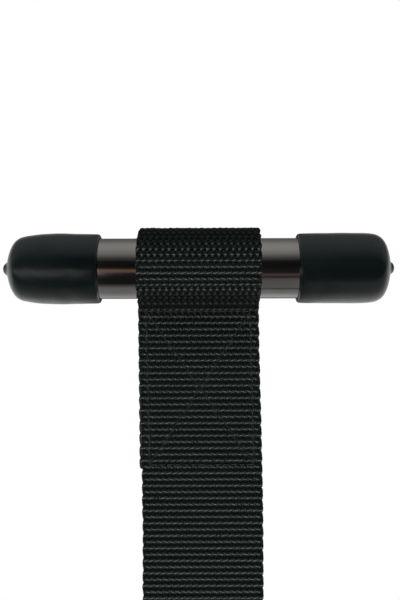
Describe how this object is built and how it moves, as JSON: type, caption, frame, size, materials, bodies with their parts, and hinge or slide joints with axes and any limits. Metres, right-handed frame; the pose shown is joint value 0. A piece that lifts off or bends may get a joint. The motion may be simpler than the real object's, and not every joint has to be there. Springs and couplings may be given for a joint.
{
  "type": "over-door shoulder pulley",
  "caption": "Steel bar with soft black end caps that anchors a black webbing strap behind a door; a D-ring at the strap's end carries a swivel pulley block.",
  "frame": {"origin": "middle of the anchor bar's axis", "axes": "+X along the bar to its right end, -Z down the hanging strap, -Y out of the strap's front face"},
  "size_m": [0.1646, 0.0332, 0.4303],
  "materials": {
    "polished_steel": "polished plating, slightly warm grey",
    "black_vinyl": "soft dip-moulded vinyl, semi-gloss",
    "black_webbing": "coarse plain-woven webbing, matt with a slight sheen",
    "black_thread": "bonded sewing thread",
    "nickel_steel": "bright nickel plate",
    "zinc_steel": "zinc plate, satin",
    "white_acetal": "natural acetal",
    "black_nylon": "moulded nylon, satin",
    "bronze": "sintered bronze"
  },
  "bodies": {
    "bar": {"anchor_tube": "polished_steel", "end_cap_left": "black_vinyl", "end_cap_right": "black_vinyl"},
    "strap_top": {"strap_upper": "black_webbing", "upper_box_stitch": "black_thread"},
    "strap_door": {"strap_middle": "black_webbing"},
    "strap_hang": {"strap_lower": "black_webbing", "lower_box_stitch": "black_thread"},
    "ring": {"d_ring": "nickel_steel"},
    "eye": {"swivel_eye": "nickel_steel", "swivel_washer": "zinc_steel"},
    "block": {"yoke": "nickel_steel", "cheek_front": "nickel_steel", "cheek_rear": "nickel_steel", "spacer_sleeves": "zinc_steel", "spacer_rivets": "zinc_steel", "axle_bolt": "zinc_steel", "axle_lock_washer": "zinc_steel", "axle_nut": "zinc_steel", "thrust_washer_front": "white_acetal", "thrust_washer_rear": "white_acetal"},
    "wheel": {"sheave": "black_nylon", "sheave_bush": "bronze"}
  },
  "joints": [
    {"name": "loop_turn", "type": "hinge", "parent": "bar", "child": "strap_top", "pos_m": [0, 0, 0], "axis": [1, 0, 0], "continuous": true},
    {"name": "back_edge_fold", "type": "hinge", "parent": "strap_top", "child": "strap_door", "pos_m": [0, -0.00125, -0.096], "axis": [1, 0, 0], "range_deg": [-90, 90]},
    {"name": "front_edge_fold", "type": "hinge", "parent": "strap_door", "child": "strap_hang", "pos_m": [0, -0.00125, -0.14], "axis": [1, 0, 0], "range_deg": [-90, 90]},
    {"name": "ring_swing", "type": "hinge", "parent": "strap_hang", "child": "ring", "pos_m": [0, 0, -0.3], "axis": [1, 0, 0], "range_deg": [-90, 90]},
    {"name": "eye_travel", "type": "hinge", "parent": "ring", "child": "eye", "pos_m": [0, 0, -0.304], "axis": [0, 1, 0], "range_deg": [-60, 60]},
    {"name": "block_swivel", "type": "hinge", "parent": "eye", "child": "block", "pos_m": [0, 0, -0.354], "axis": [0, 0, 1], "continuous": true},
    {"name": "sheave_spin", "type": "hinge", "parent": "block", "child": "wheel", "pos_m": [0, 0, -0.39], "axis": [0, 1, 0], "continuous": true}
  ]
}
